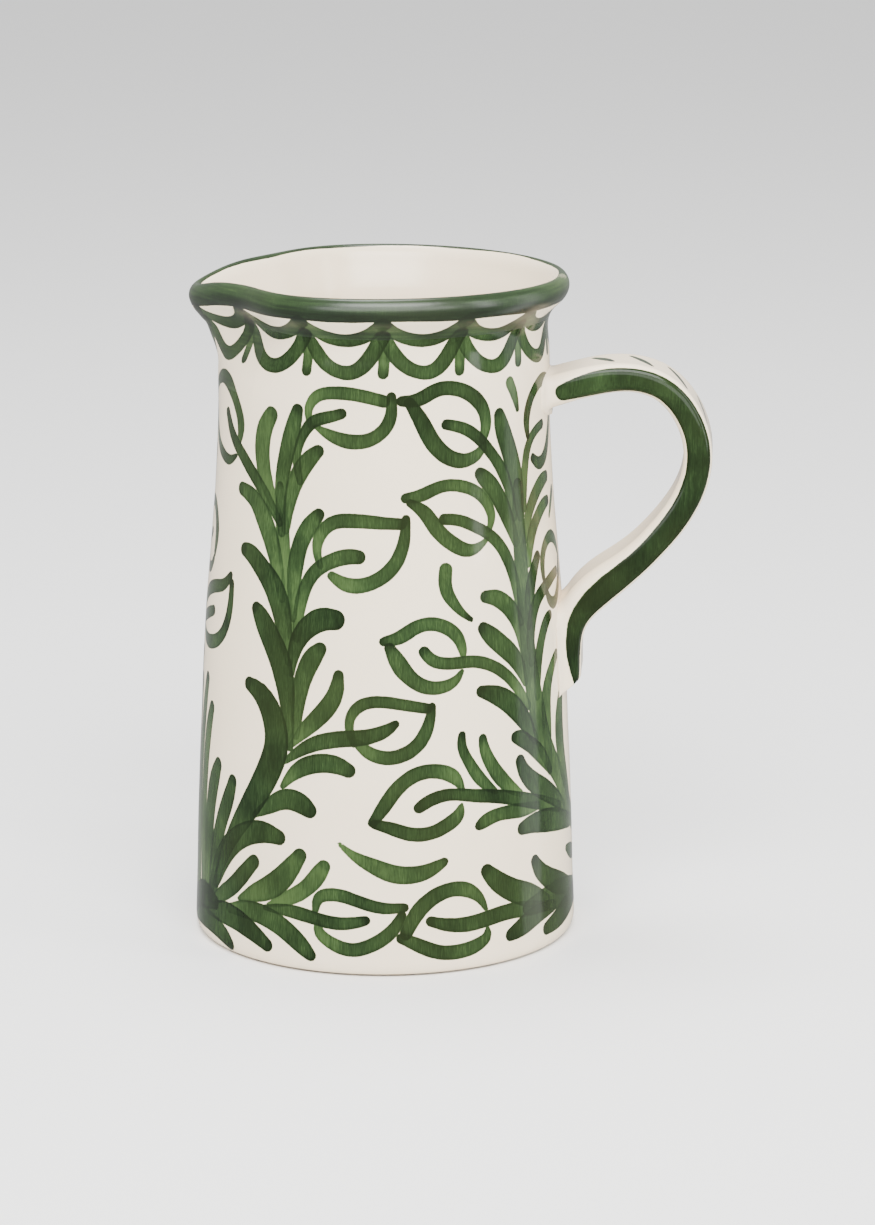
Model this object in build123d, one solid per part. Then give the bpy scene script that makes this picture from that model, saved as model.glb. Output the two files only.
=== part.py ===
"""A tapered glazed-ceramic pitcher with a rolled rim, a pulled spout and a strap handle.

Frame: millimetres, +Z up, origin at the centre of the resting face.
The handle lies along +X and the spout points along -X.
Every node is one clay member, and neighbours meet face to face as luted clay does.
"""

import os
from math import cos, exp, pi, sin

from build123d import *

# Driving dimensions
CREST_Z = 220.0  # top of the rim, away from the spout
WALL = 5.0  # wall thickness
FOOT_H = 2.0  # how far the foot ring lifts the floor
FOOT_OUT_R = 61.0
FOOT_IN_R = 53.0
FLOOR_TOP_Z = 9.0  # upper face of the floor inside
BASE_R = 63.4  # widest outer radius, just above the foot
BASE_Z = 5.5

# The wall's outer radius by height, from the base to the neck under the rim
WALL_OUTLINE = [(BASE_R, BASE_Z), (62.2, 40.0), (58.0, 120.0), (54.1, 180.0), (53.8, 198.0)]
NECK = (54.2, 206.5)  # where the rim's underside starts to roll out

# The rim roll, as offsets from the crest: (outwards, upwards)
CREST_R = 58.0
ROLL = [(-1.6, -10.2), (1.2, -7.4), (2.4, -4.4), (1.6, -1.2), (0.0, 0.0), (-1.8, -1.0), (-4.0, -5.0)]
ROLL_INNER = (-7.6, -13.5)  # where the roll meets the inner wall

# The spout: the rim is pulled out and down at the tip and pinched in on both flanks
TIP_PULL, TIP_WIDTH = 3.7, 13.0  # mm, degrees
TIP_DIP, DIP_WIDTH = 4.2, 17.0
PINCH, PINCH_AT, PINCH_WIDTH = 6.0, 37.0, 21.0
THROAT, THROAT_WIDTH = 2.4, 20.0  # how much fuller the throat is, under the lip, than the pull alone leaves it
THROAT_GROWS, THROAT_ENDS = (190.0, 202.0), (206.0, 214.0)
PULL_GROWS = (192.0, 211.0)  # the heights between which each of the three grows from nothing
DIP_GROWS = (200.0, 212.0)
PINCH_GROWS = (184.0, 207.0)
SPOUT_HALF_ANGLE = 44.0  # degrees either side of the spout's axis that belong to the spout
SPOUT_FROM_Z = 185.0

# The rim roll starts here, above the wall
RIM_JOINT_Z = 206.5

# The handle strap
STRAP_W, STRAP_T, STRAP_EDGE = 25.0, 9.0, 3.6
HANDLE_PATH = [
    (50.0, 181.0), (59.0, 184.2), (69.5, 187.0), (80.0, 187.6), (90.5, 184.5), (99.0, 175.5),
    (102.8, 162.3), (100.1, 148.9), (91.6, 135.4), (80.8, 123.8), (70.4, 114.6), (63.6, 107.0),
    (61.3, 98.0), (61.2, 89.0), (61.2, 76.0),
]
UPPER_CUT, LOWER_CUT = 0.068, 0.745  # the strap proper runs between these fractions of the path
PAD_W, PAD_H, PAD_Z = 33.0, 19.0, 182.0  # the upper root, where it spreads on the wall
PAD_X = 47.0  # inside the wall, which trims it
PAD_END_W, PAD_END_H = 23.0, 7.8  # the spread dies into the strap here
TAIL_END = (65.7, 86.0)  # the tail's outer edge, cut obliquely back to the wall
TAIL_SLOPE = (0.64, -0.77)

SECTION_STEP = 10  # degrees between the wall's sections
SPOUT_STEP = 5  # finer near the spout


def smoothstep(low, high, value):
    """0 below low, 1 above high, with no corner at either."""
    t = min(1.0, max(0.0, (value - low) / (high - low)))
    return t * t * (3 - 2 * t)


def bump(angle, width):
    return exp(-((angle / width) ** 2))


def shaped(r, z, angle):
    """A point of the wall's section after the spout is pulled: angle is in degrees from the spout's axis."""
    pull = TIP_PULL * bump(angle, TIP_WIDTH) * smoothstep(*PULL_GROWS, z)
    fullness = smoothstep(*THROAT_GROWS, z) * (1 - smoothstep(*THROAT_ENDS, z))
    throat = THROAT * bump(angle, THROAT_WIDTH) * fullness
    both_flanks = bump(angle - PINCH_AT, PINCH_WIDTH) + bump(angle + PINCH_AT, PINCH_WIDTH)
    pinch = PINCH * both_flanks * smoothstep(*PINCH_GROWS, z)
    dip = TIP_DIP * bump(angle, DIP_WIDTH) * smoothstep(*DIP_GROWS, z)
    return r + pull + throat - pinch, z - dip


def wall_section(angle):
    """The wall's closed section in the vertical plane at an angle from the spout's axis."""
    around = (180 + angle) * pi / 180

    def place(r, z):
        r, z = shaped(r, z, angle)
        return (r * cos(around), r * sin(around), z)

    inner = [(r - WALL, z) for r, z in WALL_OUTLINE[1:]]
    crest = [(CREST_R + out, CREST_Z + up) for out, up in ROLL]
    inner_top = (CREST_R + ROLL_INNER[0], CREST_Z + ROLL_INNER[1])
    floor_r = BASE_R - WALL
    foot = Line(place(FOOT_OUT_R, FOOT_H), place(*WALL_OUTLINE[0]))
    outside = Spline([place(*p) for p in [*WALL_OUTLINE, NECK]])
    lip = Spline([place(*p) for p in [NECK, *crest, inner_top]])
    inside = Spline([place(*p) for p in [inner_top, *reversed(inner), (floor_r, FLOOR_TOP_Z)]])
    skirt = Line(place(floor_r, FLOOR_TOP_Z), place(floor_r, FOOT_H))
    under = Line(place(floor_r, FOOT_H), place(FOOT_OUT_R, FOOT_H))
    return Wire([foot, outside, lip, inside, skirt, under])


def vessel():
    """The whole thrown wall with its rim and spout, lofted half way round and mirrored."""
    angles = [*range(0, 70, SPOUT_STEP), *range(70, 181, SECTION_STEP)]
    half = Solid.make_loft([wall_section(a) for a in angles])
    return half + half.mirror(Plane.XZ)


def core():
    """The pot's outer form with no hollow, which trims what is luted on to it."""
    top = (NECK[0], CREST_Z)
    with BuildPart() as made:
        with BuildSketch(Plane.XZ):
            with BuildLine():
                Polyline([(0, 0), (BASE_R, 0), (BASE_R, BASE_Z)])
                Spline([*WALL_OUTLINE, NECK])
                Polyline([NECK, top, (0, top[1]), (0, 0)])
            make_face()
        revolve(axis=Axis.Z)
    return made.part


def spout_region():
    """The wedge of space that the spout takes, above the place where it grows out of the wall."""
    reach, edge = 90.0, SPOUT_HALF_ANGLE * pi / 180
    corners = [(0, 0), (-reach * cos(edge), reach * sin(edge)), (-reach * cos(edge), -reach * sin(edge))]
    plan = Plane.XY.offset(SPOUT_FROM_Z) * make_face(Polyline(*corners, close=True))
    return extrude(plan, CREST_Z)


def slab(low, high):
    """All the space between two heights."""
    return Pos(0, 0, (low + high) / 2) * Box(300, 300, high - low)


def handle_parts():
    """The strap and its two roots: one swept strap, cut square to its path where it meets each root."""
    path = Spline([(x, 0, z) for x, z in HANDLE_PATH])
    start, upper, lower = [Plane(path @ t, (0, 1, 0), path % t) for t in (0, UPPER_CUT, LOWER_CUT)]
    swept = sweep(start * RectangleRounded(STRAP_W, STRAP_T, STRAP_EDGE), path)
    body = core()

    reach = 80.0
    space = Box(reach, reach, reach)
    before = upper * Pos(0, 0, -reach / 2) * space
    after = lower * Pos(0, 0, reach / 2) * space
    strap = swept - before - after

    at_wall = Plane((PAD_X, 0, PAD_Z), (0, 1, 0), (1, 0, 0)) * Ellipse(PAD_W / 2, PAD_H / 2)
    spread = loft([at_wall, upper * Ellipse(PAD_END_W / 2, PAD_END_H / 2)])
    upper_root = (swept & before) + spread - body

    slope = Plane((TAIL_END[0], 0, TAIL_END[1]), (0, 1, 0), (TAIL_SLOPE[0], 0, TAIL_SLOPE[1]))
    lower_root = (swept & after) - slope * Pos(0, 0, reach / 2) * space - body
    return strap, upper_root, lower_root


def main():
    os.makedirs("parts", exist_ok=True)
    pot = vessel()
    spout_space = spout_region()
    above = slab(RIM_JOINT_Z, 2 * CREST_Z)
    spout = pot & spout_space
    rest = pot - spout_space
    strap, upper_root, lower_root = handle_parts()
    ring = Cylinder(FOOT_OUT_R, FOOT_H) - Cylinder(FOOT_IN_R, FOOT_H)
    blank = Pos(0, 0, (FOOT_H + FLOOR_TOP_Z) / 2) * Cylinder(BASE_R - WALL / 2, FLOOR_TOP_Z - FOOT_H)
    nodes = {
        "body_wall": rest - above,
        "floor_disc": blank - pot,
        "foot_ring": Pos(0, 0, FOOT_H / 2) * ring,
        "rim_roll": rest & above,
        "spout_lip": spout,
        "handle_strap": strap,
        "handle_upper_root": upper_root,
        "handle_lower_root": lower_root,
    }
    for name, shape in nodes.items():
        export_step(shape, f"parts/{name}.step")


main()
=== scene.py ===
"""A glazed pitcher with brushed leaf sprays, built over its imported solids.

Outlines and brush strokes are in millimetres. A place on the wall is given by the degrees
around it, 0 at the front, 90 at the handle and -90 at the spout, and by its height.
"""

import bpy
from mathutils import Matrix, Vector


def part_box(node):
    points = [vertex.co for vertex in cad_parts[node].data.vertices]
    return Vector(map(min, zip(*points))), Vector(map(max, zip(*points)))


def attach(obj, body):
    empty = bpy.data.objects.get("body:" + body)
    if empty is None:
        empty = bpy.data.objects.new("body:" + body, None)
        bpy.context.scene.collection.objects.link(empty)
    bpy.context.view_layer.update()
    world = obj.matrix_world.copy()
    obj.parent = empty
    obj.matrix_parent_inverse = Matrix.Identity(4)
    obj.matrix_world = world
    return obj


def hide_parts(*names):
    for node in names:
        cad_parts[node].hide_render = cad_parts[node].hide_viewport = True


bl_info = {
    "name": "Brushed Leaf Pitcher",
    "version": (1, 0, 0),
    "blender": (4, 5, 0),
    "location": "3D View > Sidebar > Pitcher",
    "description": "Throws, paints and glazes a pitcher over its packed solids",
    "category": "Add Mesh",
}

from math import cos, pi, radians, sin

import bmesh
import bpy
import numpy as np
from bpy.props import FloatProperty, FloatVectorProperty, IntProperty, PointerProperty

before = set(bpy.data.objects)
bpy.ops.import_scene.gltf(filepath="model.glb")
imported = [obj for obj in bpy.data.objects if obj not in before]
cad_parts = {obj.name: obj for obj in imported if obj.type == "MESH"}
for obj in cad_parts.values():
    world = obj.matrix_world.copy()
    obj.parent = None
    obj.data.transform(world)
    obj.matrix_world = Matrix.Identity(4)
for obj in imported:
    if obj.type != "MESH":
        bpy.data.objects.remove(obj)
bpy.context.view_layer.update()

MM = 0.001


def top_of(node):
    """How far a solid reaches along Y and up, in millimetres."""
    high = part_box(node)[1]
    return high.y / MM, high.z / MM


def foot_of(node):
    """The height of a solid's lowest point, in millimetres."""
    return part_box(node)[0].z / MM


BASE_R = top_of("body_wall")[0]
CREST_Z = top_of("rim_roll")[1]
RIM_JOINT_Z = foot_of("rim_roll")
SPOUT_JOINT_Z = foot_of("spout_lip")
FLOOR_Z = top_of("floor_disc")[1]
FLOOR_R = 50  # where the floor's upper face ends and the cove begins
FOOT_R, FOOT_H = top_of("foot_ring")
FOOT_RING_W = 8

# The thrown section as (radius, height), up the outside, over the rim and down the inside
OUTSIDE = [(BASE_R, 5.5), (62.2, 40), (58, 120), (54.1, 180), (53.8, 198), (54.2, RIM_JOINT_Z)]
ROLL = [(56.4, 209.8), (59.2, 212.6), (60.4, 215.6), (59.6, 218.8), (58, CREST_Z), (56.2, 219), (54, 215)]
INSIDE = [(50.4, RIM_JOINT_Z), (48.8, 198), (49.1, 180), (53, 120), (57.2, 40), (57.9, 22)]
HEEL = [(61.5, 0.7), (62.5, 1.0), (63.1, 2.2), (63.4, 4.0)]
COVE = [(57.0, 14.5), (54.2, 10.6), (FLOOR_R, FLOOR_Z)]
UNDER = [(58.4, FLOOR_Z), (58.4, FOOT_H), (61.1, FOOT_H)]

# The spout, by degrees from its own axis
SPOUT_HALF = 44
PULL, PULL_WIDTH = 3.7, 13
DIP, DIP_WIDTH = 4.2, 17
PINCH, PINCH_WIDTH, PINCH_AT = 6.0, 21, 37
THROAT, THROAT_WIDTH = 2.4, 20  # how much fuller the throat is than the pull alone leaves it
# The heights between which each grows from nothing, and the throat dies again under the lip
PULL_GROWS, DIP_GROWS, PINCH_GROWS = (192, 211), (200, 212), (184, 207)
THROAT_GROWS, THROAT_ENDS = (190, 202), (206, 214)

# The thrower's hand shows as soft waves between these heights, and dies out beside the joints.
WAVES_GROW, WAVES_END = (10, 20), (196, 204)

JOINT_SEAM = 0.12  # rows and columns this close to a joint keep the shading crisp there
RIM_STEP, THROAT_STEP = 0.7, 1.4  # heights of the rows on the rim, and just inside it
SECTION_POINTS = 6000  # how finely an outline is followed before rows are picked from it
UNPAINTED = 999  # a height that no stroke reaches


def smoothstep(low, high, value):
    """0 below low, 1 above high, with no corner at either."""
    t = np.clip((value - low) / (high - low), 0, 1)
    return t * t * (3 - 2 * t)


def bump(angle, width):
    """1 at 0, falling away smoothly to either side."""
    return np.exp(-((angle / width) ** 2))


def lengths(points):
    """How far along the line each point is."""
    return np.concatenate([[0], np.cumsum(np.linalg.norm(np.diff(points[:, :2], axis=0), axis=1))])


def smooth_path(points, samples):
    """A natural cubic through the points, with its values and its length at even steps."""
    points = np.array(points, float)
    knots = lengths(points)
    gaps = np.diff(knots)
    n = len(points)
    system = np.eye(n)
    right = np.zeros_like(points)
    for i in range(1, n - 1):
        system[i, i - 1 : i + 2] = gaps[i - 1], 2 * (gaps[i - 1] + gaps[i]), gaps[i]
        right[i] = 6 * ((points[i + 1] - points[i]) / gaps[i] - (points[i] - points[i - 1]) / gaps[i - 1])
    bend = np.linalg.solve(system, right)
    where = np.linspace(0, knots[-1], samples)
    i = np.clip(np.searchsorted(knots, where, side="right") - 1, 0, n - 2)
    h = gaps[i][:, None]
    a = (knots[i + 1] - where)[:, None]
    b = (where - knots[i])[:, None]
    ends = (points[i] / h - bend[i] * h / 6) * a + (points[i + 1] / h - bend[i + 1] * h / 6) * b
    return ends + (bend[i] * a**3 + bend[i + 1] * b**3) / (6 * h)


def stroke_line(points, samples):
    """A brush's line as (across, up, half width), through points that give the whole width."""
    points = np.array(points, float)
    points[:, 2] *= 0.5
    return smooth_path(points, samples)


def cells(low, high, columns, count):
    """Four-sided faces between two rows of a grid that closes on itself after count columns."""
    following = (columns + 1) % count
    low, high = low * count, high * count
    return np.stack([low + columns, low + following, high + following, high + columns], axis=1)


# ---------------------------------------------------------------- the thrown form


def spaced(low, high, step):
    """Even rows from one joint to the next, with a close row beside each joint."""
    rows = np.linspace(low, high, max(2, int(round((high - low) / step)) + 1))
    return np.concatenate([[low, low + JOINT_SEAM], rows[1:-1], [high - JOINT_SEAM]])


class ThrownForm:
    """The wall, rim and spout as one grid of rows up the section and columns round the pot."""

    def __init__(self, outer_step, inner_step, ripple):
        section = smooth_path([*HEEL, *OUTSIDE, *ROLL, *INSIDE, *COVE], SECTION_POINTS)
        run = lengths(section)
        crest = int(np.argmax(section[:, 1]))

        def rising(z):
            return np.interp(z, section[:crest, 1], run[:crest])

        def falling(z):
            return -np.interp(-z, -section[crest:, 1], -run[crest:])

        joints = (SPOUT_JOINT_Z, RIM_JOINT_Z)
        stops = [0, *map(rising, joints), *map(falling, reversed(joints)), run[-1]]
        steps = [outer_step, outer_step, RIM_STEP, THROAT_STEP, inner_step]
        bands = [spaced(a, b, s) for a, b, s in zip(stops, stops[1:], steps)]
        self.band_starts = np.cumsum([0, *[len(b) for b in bands]])
        rows = np.concatenate([*bands, [run[-1]]])
        self.r = np.interp(rows, run, section[:, 0])
        self.z = np.interp(rows, run, section[:, 1])
        # A brush works by height up to the rim's joint, and by the length of the section above it.
        self.height = np.where(rows < stops[2], self.z, RIM_JOINT_Z + rows - stops[2])
        under = np.array(UNDER, float)
        self.r = np.concatenate([self.r, under[:, 0]])
        self.z = np.concatenate([self.z, under[:, 1]])
        self.height = np.concatenate([self.height, [UNPAINTED] * len(UNDER)])

        edge = SPOUT_HALF
        whole = [a for a in range(-180, 180) if abs(a) != edge]
        beside = [side * (edge + gap) for side in (-1, 1) for gap in (-JOINT_SEAM, 0, JOINT_SEAM)]
        self.from_spout = np.array(sorted([*whole, *beside]), float)
        self.around = self.from_spout - 90
        self.left = int(np.argmin(abs(self.from_spout + edge)))
        self.right = int(np.argmin(abs(self.from_spout - edge)))
        self.place(ripple)

    def place(self, ripple):
        """Where every row and column meet, after the spout is pulled."""
        r, z = self.r[:, None], self.z[:, None]
        angle = self.from_spout[None, :]
        fullness = smoothstep(*THROAT_GROWS, z) * (1 - smoothstep(*THROAT_ENDS, z))
        throat = THROAT * bump(angle, THROAT_WIDTH) * fullness
        pull = PULL * bump(angle, PULL_WIDTH) * smoothstep(*PULL_GROWS, z) + throat
        flanks = bump(angle - PINCH_AT, PINCH_WIDTH) + bump(angle + PINCH_AT, PINCH_WIDTH)
        pinch = PINCH * flanks * smoothstep(*PINCH_GROWS, z)
        dip = DIP * bump(angle, DIP_WIDTH) * smoothstep(*DIP_GROWS, z)
        turn = np.radians(self.around)[None, :]
        rings = np.sin(z / 4.1 + 0.8 * np.sin(turn)) * 0.35 + np.sin(z / 9.7 + 2 * turn)
        waves = rings + np.sin(3 * turn + z / 60) * 1.2
        free = smoothstep(*WAVES_GROW, z) * (1 - smoothstep(*WAVES_END, z))
        radius = r + pull - pinch + ripple * waves * free
        rim_sway = 0.25 * np.sin(2 * turn + 0.7) * smoothstep(207, 219, z)
        height = z - dip + rim_sway
        self.points = np.stack([radius * np.sin(turn), -radius * np.cos(turn), height], axis=-1)

    def columns(self, in_spout):
        """The columns in the spout, out of it or, for None, all of them."""
        columns = np.arange(len(self.from_spout))
        inside = (columns >= self.left) & (columns < self.right)
        return columns if in_spout is None else columns[inside == in_spout]

    def skin(self, bands, in_spout=None):
        """The grid's cells in some bands of the section."""
        starts = self.band_starts
        rows = np.concatenate([np.arange(starts[band], starts[band + 1]) for band in bands])
        i, j = np.meshgrid(rows, self.columns(in_spout), indexing="ij")
        return cells(i.ravel(), i.ravel() + 1, j.ravel(), len(self.from_spout))

    def level_joint(self, outer_row, inner_row, in_spout):
        """The flat joint between the outside and the inside at one height."""
        return cells(outer_row, inner_row, self.columns(in_spout), len(self.from_spout)).tolist()

    def upright_joint(self, rows, column):
        """The joint across the wall's thickness at one column: one face through the named rows."""
        return [int(row) * len(self.from_spout) + column for row in rows]


def make_piece(name, points, skin, joints, material, paint=()):
    """A closed mesh from skin cells and hidden joint faces, with its paint carried on its points."""
    faces = [*map(list, skin), *joints]
    used = np.unique(np.concatenate([np.ravel(f) for f in faces]))
    index = {int(old): new for new, old in enumerate(used)}
    mesh = bpy.data.meshes.new(name)
    mesh.from_pydata((points[used] * MM).tolist(), [], [[index[int(v)] for v in face] for face in faces])
    work = bmesh.new()
    work.from_mesh(mesh)
    work.faces.ensure_lookup_table()
    bmesh.ops.recalc_face_normals(work, faces=work.faces)
    # The skin is smooth, and sharp where it meets a joint face.
    first_joint = len(skin)
    for edge in work.edges:
        sides = {face.index >= first_joint for face in edge.link_faces}
        edge.smooth = len(sides) == 1
    for face in work.faces:
        face.smooth = face.index < first_joint
    work.to_mesh(mesh)
    work.free()
    for number, values in enumerate(paint):
        layer = mesh.attributes.new(f"coat_{number}", "FLOAT_COLOR", "POINT")
        layer.data.foreach_set("color", values[used].astype(np.float32).ravel())
    mesh.materials.append(material)
    piece = bpy.data.objects.new(name, mesh)
    bpy.context.scene.collection.objects.link(piece)
    return piece


# ---------------------------------------------------------------- the brushwork

COATS = 8
CLEAR = 9.0  # a distance that is well off every stroke
MARGIN = 2.0  # how far past a stroke's edge its distance is still kept
STROKE_STEPS = 30  # points along a stroke's line
LOWEST = 2.6  # how near the foot a stroke may stray

# A stroke is a strength, then points of (degrees around, height, width).
LEAVES = [
    # the low spray by the spout
    (0.85, (-86, 5.6, 4), (-76, 7.4, 7), (-67, 8, 7.4), (-58, 7.3, 6.8), (-51, 4.9, 5.6), (-49, 3.5, 4.4)),
    (0.95, (-63, 11, 3), (-54, 13.2, 7.5), (-45, 12.6, 7.8), (-38, 10, 6.4), (-33, 7.2, 4.6)),
    (0.8, (-50, 15.5, 3), (-41, 17.2, 6.3), (-32, 16.2, 7.2), (-25, 12.5, 6.8), (-20, 8.2, 5.4),
     (-18, 6.3, 4)),
    (0.55, (-33, 20.5, 1.5), (-25, 24.5, 5), (-19, 29, 5.6), (-15, 34.5, 5.4), (-14, 36.2, 4.6)),
    (0.7, (-45, 20, 1.5), (-38, 23.5, 6), (-31, 27.5, 8), (-25, 34, 6.8), (-21.7, 39, 4.8)),
    (0.8, (-62, 14, 2), (-55, 18.5, 5), (-47, 24.5, 6), (-42, 30, 5.6), (-38.5, 34, 4.8)),
    (0.9, (-61, 18, 5), (-56, 28, 8), (-50, 36.5, 8.5), (-42, 42.5, 8), (-34, 44.6, 7), (-29, 43.8, 5)),
    (0.8, (-62, 15, 4), (-59, 30, 7), (-54.5, 45, 7), (-50.7, 54, 6), (-49.3, 58.4, 4.6)),
    (0.75, (-64, 18, 5), (-64, 35, 7.5), (-62.5, 50, 8), (-60, 58, 7), (-58.2, 61.8, 5)),
    (0.6, (-68, 15, 5), (-70, 40, 6.5), (-69, 60, 6.5), (-66.5, 74, 6), (-64.5, 79.5, 4.6)),
    (0.6, (-74, 20, 5), (-76, 50, 6.5), (-73.5, 75, 6.5), (-70, 88, 4.6)),
    (0.95, (-86, 6.8, 5), (-80, 10, 8), (-73, 13.5, 9), (-65, 15.5, 9), (-58, 15, 5)),
    (0.7, (-77, 12, 6), (-80.5, 30, 8), (-82, 52, 7.5), (-81, 72, 6), (-78.5, 86, 4.6)),
    # the tall vine by the spout
    (1.0, (-58, 22, 4), (-50, 38, 6), (-41.5, 51, 8.5), (-34, 64, 9.5), (-30.5, 76, 9.5),
     (-33.5, 86, 8.5), (-38.5, 91, 6.5), (-42, 92.3, 4.8)),
    (0.85, (-39, 49.5, 2), (-33, 53.5, 5), (-26, 57, 7), (-20.5, 55.6, 6.4), (-18.7, 54.2, 5)),
    (0.85, (-28, 61, 2), (-22, 67.5, 5.4), (-15, 70.2, 6.3), (-9, 69.6, 5.6), (-6.5, 68.4, 4.6)),
    (0.75, (-25, 75, 2), (-20, 81, 5), (-14, 87.5, 6), (-10.5, 94, 5.2), (-9.8, 99.3, 3.4)),
    (0.75, (-23.5, 78, 2.5), (-22.5, 92, 5.5), (-20, 101, 6.5), (-16.8, 106.2, 5.4), (-15.8, 107.3, 4.4)),
    (0.95, (-25.5, 74, 2.5), (-27, 90, 6), (-30, 102, 8.5), (-35, 110.5, 8), (-39.5, 116.4, 5.6),
     (-40.3, 117.2, 4.6)),
    (1.0, (-25.5, 98, 2), (-24, 108, 5.5), (-20, 114, 7), (-14.5, 117, 7.4), (-11.2, 117, 6.6)),
    (0.85, (-26.5, 102, 3), (-29, 114, 6.5), (-33, 124.5, 8.2), (-40, 131.6, 7), (-46, 135, 5.6),
     (-47.6, 135.2, 4.6)),
    (0.75, (-25.5, 116, 2.5), (-25.5, 131, 5.6), (-23, 142, 5.8), (-19, 148.4, 5), (-17.4, 150.2, 4)),
    (0.5, (-26, 110, 2.5), (-29.5, 135, 4.5), (-31.5, 150, 5), (-32.5, 158, 3)),
    (0.65, (-30, 122, 3), (-34, 137, 6), (-39, 146.5, 7), (-45, 152.7, 6), (-51, 154.5, 4.6)),
    (0.6, (-32, 148, 2.5), (-38.5, 158.5, 5.6), (-41, 168, 6.8), (-39.5, 176.5, 6.6), (-36.8, 180.4, 5.4)),
    (0.75, (-31, 143, 3), (-32, 158, 5), (-29.5, 171, 6), (-26.6, 180.5, 5), (-25.8, 183, 4)),
    (0.7, (-29.5, 144, 3), (-28, 155, 5), (-25, 162.5, 6), (-20.5, 168.3, 5.2), (-18, 170.4, 4)),
    # under the spout
    (0.8, (-90, 6, 5), (-91, 40, 6), (-89.5, 75, 5), (-90.5, 110, 4.6), (-90, 150, 3.6), (-90, 168, 3)),
    (0.75, (-90, 66, 2.5), (-86.5, 82, 5.5), (-82.5, 91, 5.6), (-80.5, 95, 4.4)),
    (0.75, (-89.5, 24, 2.5), (-86, 42, 6), (-82, 55, 6), (-80, 61, 4.4)),
    (0.7, (-90, 134, 2.5), (-87, 150, 5.4), (-82.5, 159, 5.2), (-80.5, 162.6, 4)),
    # the tall vine by the handle
    (0.85, (56.5, 146, 4), (54.5, 160, 7), (50.5, 171, 7), (47.6, 178.3, 5.4), (47.1, 180, 4.4)),
    (0.85, (53, 138, 3.5), (48, 150, 6), (43.5, 157, 6), (39.5, 161, 5), (38.3, 162, 4)),
    (0.7, (54, 100, 3), (51.5, 112, 5.6), (47, 118.5, 6), (41, 122, 5), (38.3, 122.5, 4)),
    (0.8, (54, 92, 3), (50, 100, 6), (44, 106, 6.6), (38.5, 111, 5.4), (37.1, 112.4, 4.2)),
    (0.95, (58, 72, 3.5), (52.5, 80, 6.5), (46, 87, 7.2), (39, 91, 5.4), (35.6, 92.1, 3.8)),
    (0.85, (66, 60, 3), (60, 67, 6), (54, 72, 5.6), (49.5, 74.6, 4.8), (48.3, 74.9, 3.8)),
    (0.9, (76, 45, 4), (65, 52.5, 7), (56, 58.5, 7), (51.5, 63.5, 5.4), (50.2, 66.6, 4.4)),
    (0.7, (50, 56, 2.5), (44, 60.5, 5), (39, 67, 5), (36, 74, 3.8), (35.6, 76.8, 3)),
    (0.8, (40, 58.5, 2), (35, 63, 4.2), (30.5, 70, 3.8), (28.3, 76, 3.2), (28.5, 78.8, 2.6)),
    (0.75, (58, 50, 3), (48, 50.5, 5), (40, 50.7, 4.6), (35, 49, 4.2), (33.8, 48.3, 3.2)),
    (0.9, (84, 38, 5), (74, 41, 7), (62, 44, 8), (54, 44.6, 6), (50.3, 44.2, 4.4)),
    (0.7, (89, 37, 8), (80, 46, 8), (72, 57, 8), (64, 68, 9), (60, 80, 9), (57, 95, 8), (55.5, 110, 7.5),
     (55, 125, 7), (55, 140, 7), (55.5, 156, 5)),
    (0.65, (84, 44, 4), (78, 56, 7), (75, 68, 8.5), (75.4, 77, 7.6), (77, 82, 5.6)),
    (0.65, (66, 60, 3.5), (65, 78, 6.5), (66.5, 88, 6.2), (70.5, 93.5, 5), (74.3, 96.6, 4)),
    (0.75, (60, 86, 3), (61.5, 98, 5), (65, 106, 5), (69.5, 110.3, 4.2), (70.8, 110.7, 3.4)),
    (0.85, (57, 110, 3), (58.5, 120, 5.4), (61.5, 127, 5), (64.5, 131.2, 4)),
    (0.7, (58, 138, 3), (62, 147, 5), (68, 152.6, 5.6), (74, 155, 5), (76.8, 155.3, 4)),
    (0.65, (59, 130, 3), (62.5, 139.5, 5), (68, 144.6, 5), (74, 147.2, 4.4), (76.4, 147.4, 3.6)),
    # low down by the handle
    (0.9, (80, 17, 5), (70, 20.5, 8), (62, 25, 7), (57.3, 29.5, 5.4), (55.9, 31.9, 4.2)),
    (0.9, (62, 17, 4), (52, 21.5, 8), (45, 25, 7.6), (39, 29.6, 6.4), (36.2, 32.8, 4.6)),
    (0.95, (66, 14, 4), (56, 13.6, 7), (49, 11.2, 6.4), (44.7, 9.7, 4.4)),
    (0.9, (91, 12, 6), (78, 11, 8), (68, 8.8, 7), (61.3, 7.6, 4.6)),
    (0.75, (94, 12, 7), (84, 14, 9), (72, 16.5, 10), (60, 17.5, 8), (52, 17, 5)),
]

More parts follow.
